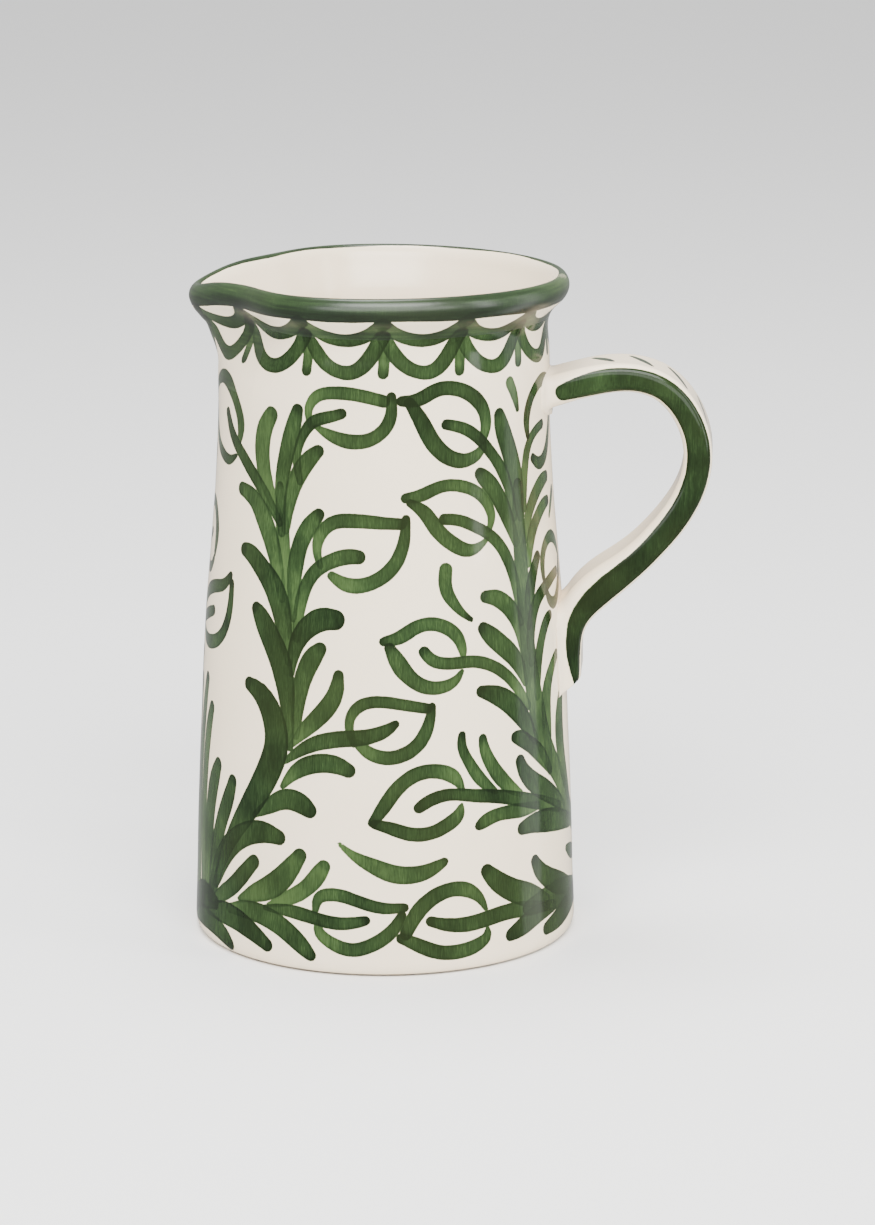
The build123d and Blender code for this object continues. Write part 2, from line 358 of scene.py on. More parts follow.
# Each leaf loop is three strokes: a stem that curls up inside it, then the two halves of its outline.
LOOPS = [
    (0.85, (-24.5, 160, 2.5), (-26, 168, 3), (-24, 174.5, 3.2), (-20, 179.5, 4), (-14, 181.6, 3.8),
     (-9.8, 182.8, 3.4)),
    (0.7, (4.5, 187, 4), (-4, 188.9, 4.3), (-12, 189.4, 4.2), (-18.5, 187.8, 3.8), (-21.6, 183, 2.8),
     (-20.8, 178.3, 2)),
    (0.8, (7, 188.5, 3), (6.4, 181, 4), (1.5, 175.5, 4.4), (-5.5, 173.9, 4.8), (-13, 175.4, 4),
     (-19, 178.2, 1.6)),
    (0.75, (-24, 110, 3), (-22.3, 124, 4.5), (-18.5, 131.5, 4.6), (-12, 136, 5), (-5, 137.4, 4.8),
     (-3.8, 137.3, 4.6)),
    (0.75, (10, 147.8, 3.8), (3, 148.3, 4.2), (-6, 148.8, 4.6), (-13, 147.6, 4.4), (-17, 143, 4),
     (-17.5, 137.5, 3), (-16.3, 133.6, 2)),
    (0.8, (11.6, 149.4, 2.8), (10.8, 142, 4), (7, 134, 4.6), (-0.5, 128.9, 4.8), (-7.5, 128.4, 4.8),
     (-12.5, 131, 3)),
    (0.95, (-27, 69.5, 2), (-19, 75.4, 4.6), (-10, 78.4, 5.4), (0, 79.8, 5), (6, 82.5, 3.6),
     (7.7, 83.8, 2.6)),
    (0.85, (17.5, 88.4, 3.4), (10, 90, 3.8), (3, 91, 3.9), (-3, 89.6, 3.8), (-6, 85.6, 3.3),
     (-6, 80.5, 2.6), (-4.8, 77, 2.2)),
    (0.85, (19, 89, 2.6), (17.8, 83, 4), (14, 76.4, 4.6), (6, 72.8, 4.6), (0, 74.3, 4.4), (-3.8, 77.4, 3)),
    (0.9, (-34, 19.6, 2), (-24, 20, 4.6), (-15, 18.4, 4.4), (-8, 17.8, 4.4), (-1.4, 19.1, 3.2)),
    (0.85, (10, 23.4, 3), (4, 23.3, 3.8), (-4, 25.6, 4.2), (-11, 27.2, 4.4), (-15.5, 25.6, 3.8),
     (-16.5, 21.5, 2.2)),
    (0.8, (9.3, 20.8, 3), (7, 16.5, 4.2), (1, 11.3, 4.6), (-5, 9.2, 4.6), (-12, 11.4, 4.4),
     (-15.5, 15, 3.4), (-15.8, 17.5, 2.2)),
    (0.85, (-32, 146, 2.5), (-37.5, 153, 4), (-45, 160, 4.6), (-53.5, 166.6, 4.6), (-60, 172, 4.2),
     (-63.4, 177.4, 3.6)),
    (0.8, (-82.5, 181, 2.6), (-76, 186, 4), (-69, 188.3, 4.6), (-61, 186, 5), (-55, 179.5, 4.6),
     (-53.2, 174, 4.2), (-54, 169.5, 2.6)),
    (0.75, (-55.5, 164.6, 1.2), (-61, 162.3, 3.4), (-67, 163, 4), (-73.5, 166, 4), (-79, 172, 3.8),
     (-82, 179, 2.8)),
    (0.75, (-88.5, 96, 3), (-84, 103.5, 4), (-77, 107.8, 4), (-70, 110.4, 3.8), (-67.2, 111.3, 3.4)),
    (0.8, (-55.2, 125.4, 2.6), (-59, 121.9, 3.8), (-66, 119.7, 4.4), (-74, 117, 4.6), (-80.5, 112, 4),
     (-83, 106.5, 2.4)),
    (0.85, (-54.2, 123, 3), (-54.8, 113, 3.8), (-59, 105, 4.4), (-66, 101.2, 4.8), (-74, 100.6, 4.4),
     (-81, 103.5, 2.4)),
    (0.7, (-89.5, 118, 2.5), (-86.5, 127, 3.6), (-81.5, 133, 3.6), (-77.5, 135.6, 3)),
    (0.7, (-71, 129.5, 2.4), (-69.7, 136, 4.2), (-72.5, 143, 4.2), (-78.5, 146, 4), (-84, 142.5, 3.2),
     (-85.5, 136.5, 2.2)),
    (0.7, (-71.6, 128, 2.2), (-76, 124, 3.6), (-81.5, 124.6, 3.4), (-84.5, 128.6, 2)),
    (0.9, (53, 146, 3), (51.5, 154, 4), (48, 162, 4.4), (43, 168.5, 4), (37, 174.3, 4),
     (31.5, 177.4, 3.8), (25.8, 178.9, 3.4)),
    (0.95, (10.4, 187, 3.4), (16, 187.3, 4.4), (22, 190, 4.6), (29, 190.2, 4.6), (36, 187, 4.8),
     (40.5, 181.5, 4.6), (41, 176, 4), (39.8, 172.8, 3)),
    (0.95, (13, 186.5, 3.5), (17, 180.5, 5), (21, 173.5, 5.4), (26.5, 168.4, 5.2), (32.5, 166.8, 4.6),
     (38, 168.6, 3.6), (40.6, 171, 2.4)),
    (0.8, (53.5, 112, 3), (51, 126, 4.2), (47.5, 135, 4.4), (42, 141.5, 4), (36, 145.2, 3.8),
     (29.5, 148, 3.8), (24.4, 148.7, 3.6)),
    (0.7, (11.6, 156, 3.2), (17, 156.8, 4.2), (23, 159, 4), (30, 159, 4), (36.5, 156.5, 4),
     (41, 152, 3.8), (42.5, 147, 3.2), (41.2, 143.8, 2.2)),
    (0.75, (13, 154.5, 2.6), (17.5, 151.5, 4.4), (22, 145.5, 5), (27.5, 140.5, 5), (33.5, 138, 4),
     (38.5, 139.7, 2.2), (40.3, 141, 1.6)),
    (0.75, (55, 84, 3), (50, 91, 4), (46, 95.5, 4), (40, 99.8, 4), (33, 102.2, 4), (25, 102.4, 4),
     (19, 104.2, 4), (16.8, 106.8, 3.6)),
    (0.75, (4.2, 110.5, 3), (9, 111.6, 4.4), (14, 114.6, 4.5), (19.5, 115.6, 4.4), (25, 113.5, 4.4),
     (28.5, 109.5, 4), (29.6, 105.3, 2.6)),
    (0.8, (6, 108.5, 3.4), (9, 103, 5.6), (12.5, 98.4, 5), (17, 95.5, 4.6), (22.5, 95, 4.2), (27, 97, 3),
     (29, 99.5, 1.6)),
    (0.95, (72, 46, 4), (60, 50.5, 5), (50, 54, 5), (40, 57, 4.6), (32, 58.5, 4.4), (24, 59.8, 4),
     (18, 58.4, 4.2), (14.7, 56.2, 3.6)),
    (0.85, (0.8, 51.5, 3), (4, 56.5, 4.4), (8, 62.5, 4.7), (14, 67.2, 4.8), (20, 67.8, 4.8),
     (25.5, 65.5, 4.6), (28.4, 61, 1.8)),
    (0.9, (1.3, 51.1, 3), (6, 49.7, 4.2), (12, 47.6, 4.6), (18, 47.6, 4.6), (23.5, 50, 4.8),
     (27.2, 53.4, 3.8), (27.8, 56, 1.6)),
    (0.9, (62, 15, 3), (54, 16.4, 5), (46, 17.6, 5.4), (38, 17.2, 5.4), (30, 16.2, 5.2), (23, 16.8, 4.4),
     (17.9, 18.4, 3.4)),
    (0.85, (10.5, 14.5, 4), (13, 20, 5), (18, 25.8, 5.2), (24, 28.3, 5), (30, 27.3, 4.8), (34, 23.5, 3),
     (35.8, 19.8, 1.4)),
    (0.9, (9.3, 13.2, 3.6), (14, 10.8, 4.6), (20, 8, 4.8), (26.5, 7.4, 4.9), (33, 8.9, 4.6),
     (36, 11.5, 3.2), (36, 13.6, 1.8)),
    (0.85, (57.5, 98, 3.5), (59, 112, 5), (63.5, 118, 5), (69, 120.6, 4.6), (75, 122.4, 4.2),
     (80.5, 123.2, 3.4)),
    (0.75, (68.2, 122.5, 2), (67.8, 128, 3.4), (70.5, 133.4, 4), (76, 135.6, 4.2), (81.5, 133.6, 3.8),
     (85.5, 129, 2.6)),
    (0.85, (69.5, 119, 2.4), (71.5, 115.5, 3.6), (75.5, 113.9, 4), (80.5, 117, 3.8), (84.5, 123, 3.2),
     (86, 127.6, 2.4)),
    (0.75, (58.5, 148, 3), (60.5, 162, 4), (63.5, 168.5, 4), (68.5, 171.8, 3.6), (74.3, 173, 3.2)),
    (0.85, (62.8, 170.5, 2), (62, 176, 3.8), (65, 183, 4.2), (71.5, 187, 4.4), (79, 187, 4), (85, 183, 2.8)),
    (0.8, (65.7, 163.3, 3.2), (70, 160.9, 4.2), (76.5, 162.4, 4.4), (82, 168.5, 4), (85, 175, 3.2),
     (86, 181, 2.4)),
]

# Short commas and drops between the sprays
TOUCHES = [
    (0.75, (24.5, 132.6, 4.6), (24.3, 127, 4.6), (27, 121.5, 3.6), (30.5, 117.6, 2.2), (32.8, 115.8, 1.5)),
    (0.7, (-9.3, 44.2, 1.4), (-5, 40.6, 3), (1, 37.2, 5.2), (8, 34.4, 6), (15, 34.5, 5.4),
     (20.5, 36.8, 3.8), (22.2, 37.8, 3)),
    (0.65, (52.2, 189.8, 4), (54.6, 185.4, 3.4), (56.5, 180.3, 1.6)),
    (0.8, (78, 30, 2.4), (82, 28.2, 4.8), (88, 26, 5), (90, 25.4, 4)),
    (0.55, (77.5, 142, 1.6), (80.5, 145.6, 2.8), (84, 149.6, 3.4)),
    (0.8, (-88, 176, 3.4), (-87.6, 181, 4.4), (-88.4, 186, 3)),
]

# The swags round the neck, as (share of the way from one meeting place to the next, height, width)
SCALLOPS = 14
FIRST_MEET = 4.2
UPPER_SWAG = [
    (0, 213.5, 5.4), (0.16, 209.2, 5), (0.38, 206.7, 4.6),
    (0.62, 206.5, 4.6), (0.84, 209, 5), (1, 213.5, 5.4),
]
LOWER_SWAG = [
    (0, 208, 4.4), (0.15, 201.6, 4.8), (0.36, 197, 4.4), (0.6, 196, 4.6), (0.84, 200.8, 5), (1, 208, 5),
]
DAB = [(0.3, 207, 3.4), (0.4, 201, 3.6), (0.1, 195.8, 3.4)]  # (degrees past the meeting place, height, width)


def meeting_place(number):
    """Where two swags meet, in degrees around. The hand drew them a little unevenly."""
    even = number * 360 / SCALLOPS
    meet = FIRST_MEET + even
    return meet + 1.8 * sin(radians(even)) - 11.8 * bump(meet - 300, 20)


def scallop_band():
    """Two rows of swags round the neck, with a dab where they meet."""
    strokes = []
    for number in range(SCALLOPS):
        start = meeting_place(number)
        width = meeting_place(number + 1) - start
        for swag in (UPPER_SWAG, LOWER_SWAG):
            strokes.append((0.85, *[(start + width * share, z, w) for share, z, w in swag]))
        strokes.append((0.6, *[(start + past, z, w) for past, z, w in DAB]))
    return strokes


def other_side(stroke):
    """The same stroke across the plane through the spout and the handle."""
    return (stroke[0], *[(-180 - a, z, w) for a, z, w in stroke[1:]])


def by_hand(stroke, chance, waver):
    """A stroke laid again with a little difference, as a hand does."""
    points = np.array(stroke[1:], float)
    points[:, :2] += chance.normal(0, waver, 2)
    points[:, :2] += chance.normal(0, waver * 0.5, (len(points), 2))
    points[:, 1] = np.maximum(points[:, 1], LOWEST)
    points[:, 2] *= chance.uniform(0.92, 1.1)
    return (stroke[0] + chance.uniform(-0.1, 0.1), *points)


class Brushwork:
    """Strokes on a developed surface. Each coat holds strokes that keep apart, so overlaps darken."""

    def __init__(self, rows, columns):
        self.off = np.full((COATS, rows, columns), CLEAR)
        self.strength = np.zeros((COATS, rows, columns))

    def lay(self, strength, line, across, up, chance):
        """One stroke: line has (across, up, half width), in the same millimetres as across and up."""
        reach = line[:, 2].max() + MARGIN
        left, low = line[:, :2].min(axis=0) - reach
        right, high = line[:, :2].max(axis=0) + reach
        rows, columns = np.nonzero((across > left) & (across < right) & (up > low) & (up < high))
        if not len(rows):
            return
        here = np.stack([across[rows, columns], up[rows, columns]], axis=1)
        best = np.full(len(rows), np.inf)
        along = np.zeros(len(rows))
        run = lengths(line)
        for i, (a, b) in enumerate(zip(line[:-1], line[1:])):
            edge = b[:2] - a[:2]
            share = np.clip((here - a[:2]) @ edge / (edge @ edge), 0, 1)
            aside = np.linalg.norm(here - a[:2] - share[:, None] * edge, axis=1)
            gap = aside - a[2] - share * (b[2] - a[2])
            closer = gap < best
            best = np.where(closer, gap, best)
            along = np.where(closer, run[i] + share * (run[i + 1] - run[i]), along)
        # The brush drags at first, then gives more, and leaves a pool where it lifts.
        share = along / run[-1]
        to_tip = run[-1] - along + line[-1, 2]
        flow = 0.76 + 0.28 * smoothstep(0.0, 0.6, share) + 0.09 * np.sin(along / 3.1 + chance.uniform(0, 6))
        flow += 0.5 * (1 - smoothstep(1.0, 4.2, to_tip)) * smoothstep(0.3, 0.6, share)
        near = best < MARGIN
        rows, columns, best, flow = rows[near], columns[near], best[near], flow[near]
        clash = [(off[rows, columns] < MARGIN).sum() for off in self.off]
        k = clash.index(0) if 0 in clash else int(np.argmin(clash))
        closer = best < self.off[k][rows, columns]
        rows, columns = rows[closer], columns[closer]
        self.off[k][rows, columns] = best[closer]
        self.strength[k][rows, columns] = (strength * flow)[closer]

    def coats(self):
        """The coats as colour values, two to each: distance and strength, twice."""
        pairs = []
        for k in range(0, COATS, 2):
            four = [self.off[k], self.strength[k], self.off[k + 1], self.strength[k + 1]]
            pairs.append(np.stack(four, axis=-1).reshape(-1, 4))
        return pairs


def paint_vessel(form, waver, seed):
    """Every stroke on the wall, neck and rim."""
    chance = np.random.default_rng(seed)
    work = Brushwork(len(form.height), len(form.around))
    strokes = scallop_band()
    outlines = [(half[0], *reversed(half[1:])) for number, half in enumerate(LOOPS) if number % 3]
    front = [*LEAVES, *LOOPS[::3], *outlines, *TOUCHES]
    strokes += front + [by_hand(other_side(s), chance, waver) for s in front]
    up = np.repeat(form.height[:, None], len(form.around), axis=1)
    below_rim = form.band_starts[2]
    for stroke in strokes:
        points = np.array(stroke[1:], float)
        middle = points[:, 0].mean()
        radius = np.interp(points[:, 1].mean(), form.z[:below_rim], form.r[:below_rim])
        scale = radius * pi / 180
        points[:, 0] = (points[:, 0] - middle) * scale
        line = stroke_line(points, STROKE_STEPS)
        turn = (form.around - middle + 180) % 360 - 180
        across = np.repeat((turn * scale)[None, :], len(form.height), axis=0)
        work.lay(stroke[0], line, across, up, chance)
    band_rim(form, work)
    return work.coats()


def band_rim(form, work):
    """The broad band round the rim, from under the roll to just inside its crest, with the top of the roll
    painted paler as painted light.
    """
    turn = np.radians(form.around)[None, :]
    h = form.height[:, None]
    low = 214.5 + 0.35 * np.sin(3 * turn + 1) + 0.2 * np.sin(11 * turn)
    high = 224.6 + 0.35 * np.sin(2 * turn) + 0.2 * np.sin(9 * turn + 2)
    off = np.maximum(low - h, h - high)
    # The band is paler high up near the handle.
    paler_near_handle = bump(form.around - 86, 14)[None, :] * smoothstep(216, 223, h)
    # Less green over the whole top of the roll: painted light, the top made lighter where the lamps fall on
    # it.
    painted_lit_top_and_handle_fade = 0.4 * smoothstep(216.5, 219.5, h) + 0.5 * paler_near_handle
    strength = 1.25 + 0.08 * np.sin(2 * turn + 1) - painted_lit_top_and_handle_fade
    last_off, last_strength = work.off[-1], work.strength[-1]
    closer = off < np.minimum(last_off, MARGIN)
    last_off[closer] = off[closer]
    last_strength[closer] = np.broadcast_to(strength, off.shape)[closer]


# ---------------------------------------------------------------- materials


class Value:
    """A shader number. Arithmetic on it adds Math nodes."""

    def __init__(self, tree, socket):
        self.tree = tree
        self.socket = socket

    def math(self, operation, *others):
        inputs = dict(enumerate([self, *others]))
        return self.tree.add("ShaderNodeMath", {"operation": operation}, inputs).value("Value")

    def __add__(self, other):
        return self.math("ADD", other)

    def __sub__(self, other):
        return self.math("SUBTRACT", other)

    def __mul__(self, other):
        return self.math("MULTIPLY", other)

    def __rsub__(self, other):
        return self * -1 + other

    def within(self, low, high):
        """0 at low, 1 at high, held to that range."""
        sockets = {"Value": self, "From Min": low, "From Max": high}
        return self.tree.add("ShaderNodeMapRange", {"clamp": True}, sockets).value("Result")


class Added:
    """A node that was just added, with its outputs by name."""

    def __init__(self, tree, node):
        self.tree = tree
        self.node = node

    def value(self, name):
        return Value(self.tree, self.node.outputs[name])

    def out(self, name):
        return self.node.outputs[name]


class Tree:
    """A node tree, and the one way to add to it."""

    def __init__(self, tree):
        self.tree = tree
        self.tree.nodes.clear()

    def add(self, kind, settings=None, inputs=None):
        """A new node, with its settings, and its sockets linked or set."""
        node = self.tree.nodes.new(kind)
        for name, setting in (settings or {}).items():
            if name == "stops":
                self.set_stops(node, setting)
            else:
                setattr(node, name, setting)
        for key, given in (inputs or {}).items():
            socket = self.find(node.inputs, key)
            given = given.socket if isinstance(given, Value) else given
            if isinstance(given, bpy.types.NodeSocket):
                self.tree.links.new(given, socket)
            else:
                socket.default_value = given
        return Added(self, node)

    @staticmethod
    def find(sockets, key):
        if isinstance(key, int):
            return sockets[key]
        return next(s for s in sockets if key in (s.identifier, s.name))

    @staticmethod
    def set_stops(node, stops):
        elements = node.color_ramp.elements
        while len(elements) < len(stops):
            elements.new(1.0)
        for element, (position, colour) in zip(elements, stops):
            element.position = position
            element.color = (*colour, 1.0)

    def mix(self, factor, first, second):
        """The first colour where the factor is 0, and the second where it is 1."""
        sockets = {"Factor_Float": factor, "A_Color": first, "B_Color": second}
        made = self.add("ShaderNodeMix", {"data_type": "RGBA"}, sockets)
        return self.find(made.node.outputs, "Result_Color")

    def noise(self, vector, scale, detail=2.0, roughness=0.5):
        """Cloudy noise, mostly between 0.3 and 0.7."""
        sockets = {"Vector": vector, "Scale": scale, "Detail": detail, "Roughness": roughness}
        return self.add("ShaderNodeTexNoise", None, sockets).value("Fac")

    def stretched(self, vector, scale):
        """Object coordinates scaled apart along each axis."""
        return self.add("ShaderNodeMapping", None, {"Vector": vector, "Scale": scale}).out("Vector")


def linear(*colour):
    """A screen colour, 0 to 255 a channel, as the light that it stands for, with full cover."""
    shares = [channel / 255 for channel in colour]
    return (*[c / 12.92 if c <= 0.04045 else ((c + 0.055) / 1.055) ** 2.4 for c in shares], 1)


def new_material(name):
    """A material with an empty tree."""
    material = bpy.data.materials.new(name)
    material.use_nodes = True
    return material, Tree(material.node_tree)


def finish_material(tree, colour, roughness, bump_height, strength, distance, sheen=0.15):
    """The surface itself, under its fine unevenness."""
    sockets = {"Height": bump_height, "Strength": strength, "Distance": distance}
    normal = tree.add("ShaderNodeBump", None, sockets).out("Normal")
    surface = {"Base Color": colour, "Roughness": roughness, "Normal": normal, "Specular IOR Level": sheen}
    shader = tree.add("ShaderNodeBsdfPrincipled", None, surface)
    tree.add("ShaderNodeOutputMaterial", None, {"Surface": shader.out("BSDF")})


def clay_colour(tree, place, look):
    """The glazed off-white body: faint cloudy warmth, and a few iron specks."""
    cloud = tree.noise(place, 16.0, 3.0, 0.55).within(0.3, 0.7)
    red, green, blue = look.clay
    base = tree.mix(cloud, (red, green, blue, 1), (red * 0.955, green * 0.955, blue * 0.925, 1))
    fine = tree.noise(place, 900.0, 2.0, 0.6).within(0.2, 0.8)
    base = tree.mix(fine * 0.05, base, linear(196, 188, 172))
    dots = tree.add("ShaderNodeTexVoronoi", None, {"Vector": place, "Scale": 95.0})
    rare = tree.noise(place, 60.0, 1.0).within(0.62, 0.7)
    speck = (1 - dots.value("Distance").within(0.02, 0.06)) * rare
    return tree.mix(speck * 0.45, base, linear(120, 96, 70))


def pigment_strength(tree, place, streak, look, brush):
    """How much green lies at a place, from the coats carried on the mesh.

    The brush says how strongly the streaks along the stroke and the fine hatch down the pot show.
    """
    rough = tree.noise(place, 1100.0, 3.0, 0.6) - 0.5
    wide = tree.noise(place, 170.0, 2.0, 0.5) - 0.5
    ragged = rough * 0.22 + wide * 0.3
    total = fullest = None
    for number in range(COATS // 2):
        coat = tree.add("ShaderNodeAttribute", {"attribute_name": f"coat_{number}"})
        parts = tree.add("ShaderNodeSeparateColor", None, {"Color": coat.out("Color")})
        pairs = ((parts.value("Red"), parts.value("Green")), (parts.value("Blue"), coat.value("Alpha")))
        for off, strength in pairs:
            off = off + ragged
            body = 1 - off.within(-0.16, 0.14)
            edge_pool = off.within(-1.1, -0.35) * 0.22
            amount = body * strength * (edge_pool + 1.0)
            total = amount if total is None else total + amount
            fullest = amount if fullest is None else fullest.math("MAXIMUM", amount)
    cloud = tree.noise(place, 75.0, 3.0, 0.6)
    hatch = tree.noise(tree.stretched(place, (2900, 2900, 260)), 1.0, 2.0, 0.6)
    along, down = brush
    uneven = streak * along + hatch * down + cloud * 0.5 + (0.75 - (along + down) / 2)
    total = total.math("MINIMUM", 2.3)  # crossings darken only so far
    return (fullest * 0.74 + total * 0.26) * uneven * look.strength


def painted_glaze(name, look, streak_scale, brush=(0.46, 0.88), softer=0.0, sheen=0.15):
    """Green brushwork on off-white clay, under a clear gloss glaze."""
    material, tree = new_material(name)
    place = tree.add("ShaderNodeTexCoord").out("Object")
    streak = tree.noise(tree.stretched(place, streak_scale), 1.0, 3.0, 0.65)
    clay = clay_colour(tree, place, look)
    green = pigment_strength(tree, place, streak, look, brush)
    stops = [(0.0, look.pale), (0.28, look.pale), (0.5, look.middle), (0.72, look.deep), (1.0, look.deepest)]
    ramp = tree.add("ShaderNodeValToRGB", {"stops": stops}, {"Fac": green * 0.6}).out("Color")
    patch = tree.noise(place, 22.0, 2.0, 0.5).within(0.42, 0.68)
    ramp = tree.mix(patch * 0.4, ramp, (*look.olive, 1))
    cover = green.within(0.0, 0.42)
    colour = tree.mix(cover, clay, ramp)
    wave = tree.noise(place, 45.0, 2.0, 0.5)
    peel = tree.noise(place, 420.0, 2.0, 0.5)
    height = wave * 0.8 + peel * 0.12 + cover * 0.05
    roughness = wave * 0.05 + cover * 0.04 + (look.gloss + softer)
    finish_material(tree, colour, roughness, height, 0.25, 0.0006, sheen)
    return material


def plain_glaze(name, look):
    """The glazed clay with no painting."""
    material, tree = new_material(name)
    place = tree.add("ShaderNodeTexCoord").out("Object")
    wave = tree.noise(place, 45.0, 2.0, 0.5)
    sockets = {"Vector": place, "Scale": 90.0, "Distortion": 1.5, "Detail": 1.0}
    rings = tree.add("ShaderNodeTexWave", {"wave_type": "RINGS", "rings_direction": "Z"}, sockets)
    height = wave * 0.8 + rings.value("Fac") * 0.35
    finish_material(tree, clay_colour(tree, place, look), wave * 0.05 + look.gloss, height, 0.3, 0.0006)
    return material


def bare_clay(name):
    """The unglazed ring: fine grit over a cloudy tone."""
    material, tree = new_material(name)
    place = tree.add("ShaderNodeTexCoord").out("Object")
    grit = tree.noise(place, 1500.0, 3.0, 0.7)
    cloud = tree.noise(place, 60.0, 3.0, 0.6).within(0.3, 0.75)
    colour = tree.mix(cloud, linear(214, 202, 182), linear(192, 174, 148))
    colour = tree.mix(grit.within(0.55, 0.8) * 0.4, colour, linear(132, 110, 86))
    finish_material(tree, colour, cloud * 0.15 + 0.72, grit, 0.5, 0.0002)
    return material


# ---------------------------------------------------------------- settings

TINT = {"subtype": "COLOR", "size": 3, "min": 0, "max": 1}
WATTS = {"unit": "POWER", "min": 0, "max": 500}


class PitcherLook(bpy.types.PropertyGroup):
    """Colours and finish of the clay, the green and the glaze."""

    clay: FloatVectorProperty(
        name="Clay", description="Glazed off-white body", default=(0.87, 0.74, 0.56), **TINT
    )
    pale: FloatVectorProperty(
        name="Pale green", description="Thin pigment", default=(0.056, 0.098, 0.031), **TINT
    )
    middle: FloatVectorProperty(
        name="Middle green", description="A single full stroke", default=(0.0218, 0.0428, 0.0140), **TINT
    )
    deep: FloatVectorProperty(
        name="Deep green", description="Where pigment gathers", default=(0.0102, 0.0208, 0.0070), **TINT
    )
    deepest: FloatVectorProperty(
        name="Deepest green", description="Where strokes cross", default=(0.0056, 0.0106, 0.0038), **TINT
    )
    olive: FloatVectorProperty(
        name="Olive", description="Where the green turned a little brown in the kiln",
        default=(0.0225, 0.0310, 0.0092), **TINT,
    )
    strength: FloatProperty(
        name="Strength", description="How heavily the brush is loaded", default=1.12, min=0.2, max=2
    )
    gloss: FloatProperty(
        name="Roughness", description="Roughness of the glaze", default=0.06, min=0.01, max=0.5
    )


class PitcherForm(bpy.types.PropertyGroup):
    """Sizes of the thrown form and of the strap."""

    outer_step: FloatProperty(
        name="Outer rows", description="Height of the outside's rows, in millimetres",
        default=0.97, min=0.5, max=4,
    )
    inner_step: FloatProperty(
        name="Inner rows", description="Height of the inside's rows, in millimetres",
        default=4.4, min=1, max=8,
    )
    ripple: FloatProperty(
        name="Ripple", description="Unevenness left by the thrower's hand, in millimetres",
        default=0.06, min=0, max=0.5,
    )
    strap_width: FloatProperty(
        name="Strap width", description="Width of the handle's strap",
        default=0.025, min=0.01, max=0.04, unit="LENGTH",
    )
    strap_thickness: FloatProperty(
        name="Strap thickness", description="Thickness of the handle's strap",
        default=0.009, min=0.004, max=0.015, unit="LENGTH",
    )
    strap_edge: FloatProperty(
        name="Strap edge", description="Rounding of the strap's edges",
        default=0.0036, min=0.001, max=0.004, unit="LENGTH",
    )


class PitcherBrush(bpy.types.PropertyGroup):
    """How freely the leaves are laid."""

    waver: FloatProperty(
        name="Waver", description="How far the far side's strokes stray, in degrees round and millimetres up",
        default=0.7, min=0, max=3,
    )
    seed: IntProperty(
        name="Seed", description="Which hand painted the far side and the strap", default=11, min=0
    )


class PitcherStudio(bpy.types.PropertyGroup):
    """Floor, lamps and camera."""

    floor: FloatVectorProperty(
        name="Floor", description="Pale floor", default=(0.86, 0.86, 0.855), **TINT
    )
    card: FloatProperty(
        name="Front card", description="Broad pale card that only the glaze reflects",
        default=50.0, **WATTS,
    )
    strip: FloatProperty(
        name="Side card", description="Tall pale card on the right that only the glaze reflects",
        default=6.5, **WATTS,
    )
    sky: FloatProperty(name="Fill", description="Even light from all round", default=1.25, min=0, max=5)
    flags: FloatProperty(
        name="Flags", description="How much of the fill is kept out of the glaze's reflections",
        default=0.5, min=0, max=1, subtype="FACTOR",
    )
    key: FloatProperty(name="Key", description="Power of the main soft lamp", default=64.0, **WATTS)
    side: FloatProperty(
        name="Side", description="Power of the tall narrow lamp on the right", default=9.0, **WATTS
    )
    overhead: FloatProperty(
        name="Overhead", description="Power of the lamp above", default=26.0, **WATTS
    )
    lens: FloatProperty(
        name="Lens", description="Focal length", default=0.1257, min=0.02, max=0.4, unit="CAMERA"
    )


class PitcherSettings(bpy.types.PropertyGroup):
    """Everything that the panel offers."""

    look: PointerProperty(type=PitcherLook)
    form: PointerProperty(type=PitcherForm)
    brush: PointerProperty(type=PitcherBrush)
    studio: PointerProperty(type=PitcherStudio)


def place_piece(piece, slot, *nodes):
    """Gives a finished piece its place in the frame."""
    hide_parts(*nodes)
    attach(piece, "root")


# ---------------------------------------------------------------- operators


